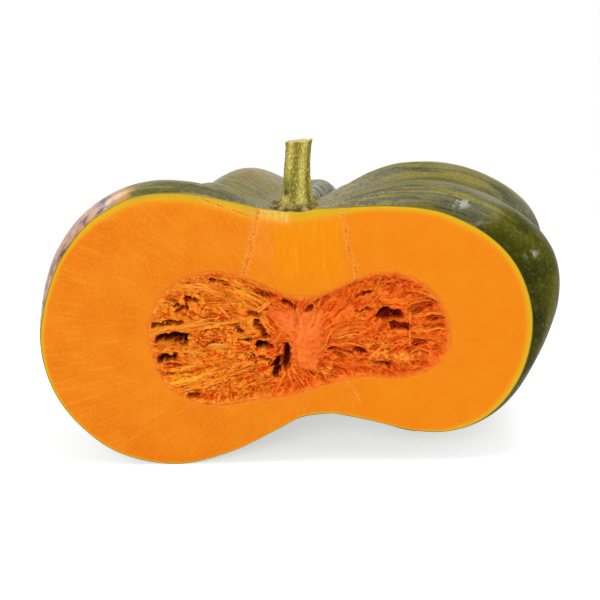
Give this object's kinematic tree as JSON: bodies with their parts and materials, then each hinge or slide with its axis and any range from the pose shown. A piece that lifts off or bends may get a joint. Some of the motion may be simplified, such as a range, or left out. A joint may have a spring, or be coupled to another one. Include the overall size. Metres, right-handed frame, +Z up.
{
  "type": "muscat pumpkin half",
  "caption": "Ribbed dark green squash cut in half from stem to blossom end, with orange flesh, a fibrous seed cavity, flat seeds and a ridged stem.",
  "frame": {"origin": "under the middle of the object's box, on the surface that it rests on", "axes": "+X along the longest extent, towards the right lobe as the cut is faced; -Y out of the cut face; +Z up towards the stem"},
  "size_m": [0.3476, 0.1806, 0.2225],
  "materials": {
    "rind": "dark olive green waxy skin with yellow-olive streaks, half gloss, a grey bloom near the stem",
    "flesh": "moist orange cut flesh, yellow under the skin",
    "pulp": "wet red-orange fibres and membranes",
    "seed": "pale yellow seeds under a wet film",
    "stem": "dry ridged corky stalk, matt, with pale warts"
  },
  "bodies": {
    "root": {"half_fruit": "rind", "stem": "stem", "pulp": "pulp", "seed_01": "seed", "seed_02": "seed", "seed_03": "seed", "seed_04": "seed", "seed_05": "seed", "seed_06": "seed", "seed_07": "seed", "seed_08": "seed", "seed_09": "seed", "seed_10": "seed", "seed_11": "seed", "seed_12": "seed", "seed_13": "seed", "seed_14": "seed"}
  },
  "joints": []
}
